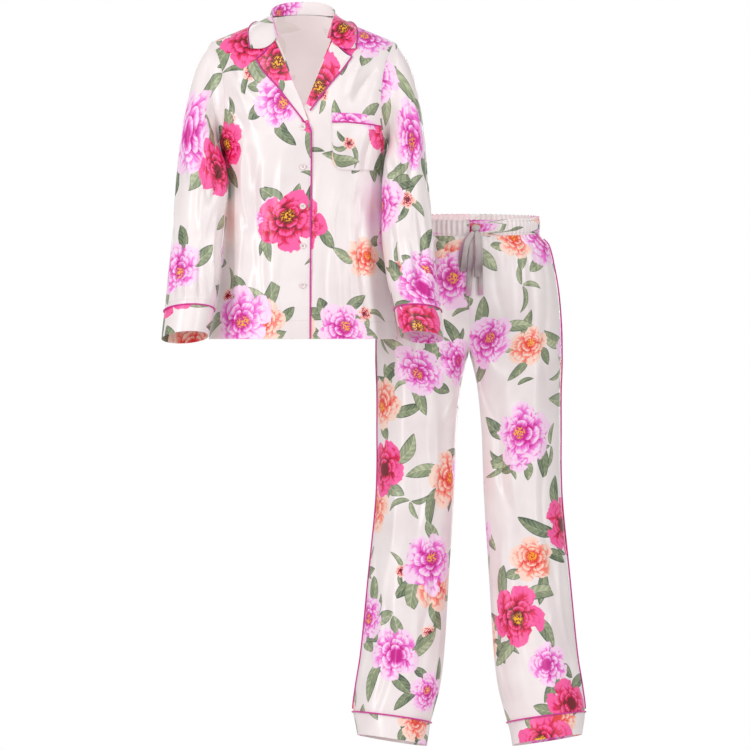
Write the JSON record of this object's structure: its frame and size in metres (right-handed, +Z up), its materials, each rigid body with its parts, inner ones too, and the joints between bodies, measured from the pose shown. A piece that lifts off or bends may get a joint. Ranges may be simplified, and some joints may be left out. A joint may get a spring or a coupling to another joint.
{
  "type": "pyjama set with a notch-collar button jacket and drawstring trousers",
  "caption": "Long-sleeved notch-collar pyjama jacket with piping and a chest pocket, and long drawstring trousers with gathered waist, both filled out as worn.",
  "frame": {"origin": "middle of the jacket's shoulders, under the neck, where the wearer's shoulders carry it", "axes": "+Z up, the fronts face -Y, +X towards the wearer's left"},
  "size_m": [0.8503, 0.4515, 1.4924],
  "materials": {
    "floral_satin": "blush ivory satin with a large floral print",
    "piping": "hot pink satin piping",
    "tie": "narrow tie of the satin's wrong side",
    "pearl": "pale pearl"
  },
  "bodies": {
    "root": {"jacket_front_right": "floral_satin", "jacket_front_left": "floral_satin", "jacket_back": "floral_satin", "sleeve_upper_front_right": "floral_satin", "sleeve_lower_front_right": "floral_satin", "sleeve_upper_back_right": "floral_satin", "sleeve_lower_back_right": "floral_satin", "sleeve_cuff_right": "floral_satin", "piping_sleeve_right": "piping", "sleeve_upper_front_left": "floral_satin", "sleeve_lower_front_left": "floral_satin", "sleeve_upper_back_left": "floral_satin", "sleeve_lower_back_left": "floral_satin", "sleeve_cuff_left": "floral_satin", "piping_sleeve_left": "piping", "collar": "floral_satin", "lapel_right": "floral_satin", "lapel_left": "floral_satin", "piping_front_right": "piping", "piping_lapel_left": "piping", "piping_collar": "piping", "pocket_band": "floral_satin", "pocket": "floral_satin", "piping_pocket": "piping", "button_1": "pearl", "button_2": "pearl", "button_3": "pearl", "button_4": "pearl", "button_5": "pearl", "trouser_front_right": "floral_satin", "trouser_back_right": "floral_satin", "trouser_front_left": "floral_satin", "trouser_back_left": "floral_satin", "waistband": "floral_satin", "leg_cuff_right": "floral_satin", "piping_leg_right": "piping", "piping_side_right": "piping", "leg_cuff_left": "floral_satin", "piping_leg_left": "piping", "piping_side_left": "piping", "tie_loop_right": "tie", "tie_loop_left": "tie", "tie_tail_right": "tie", "tie_tail_left": "tie", "tie_knot": "tie"}
  },
  "joints": []
}
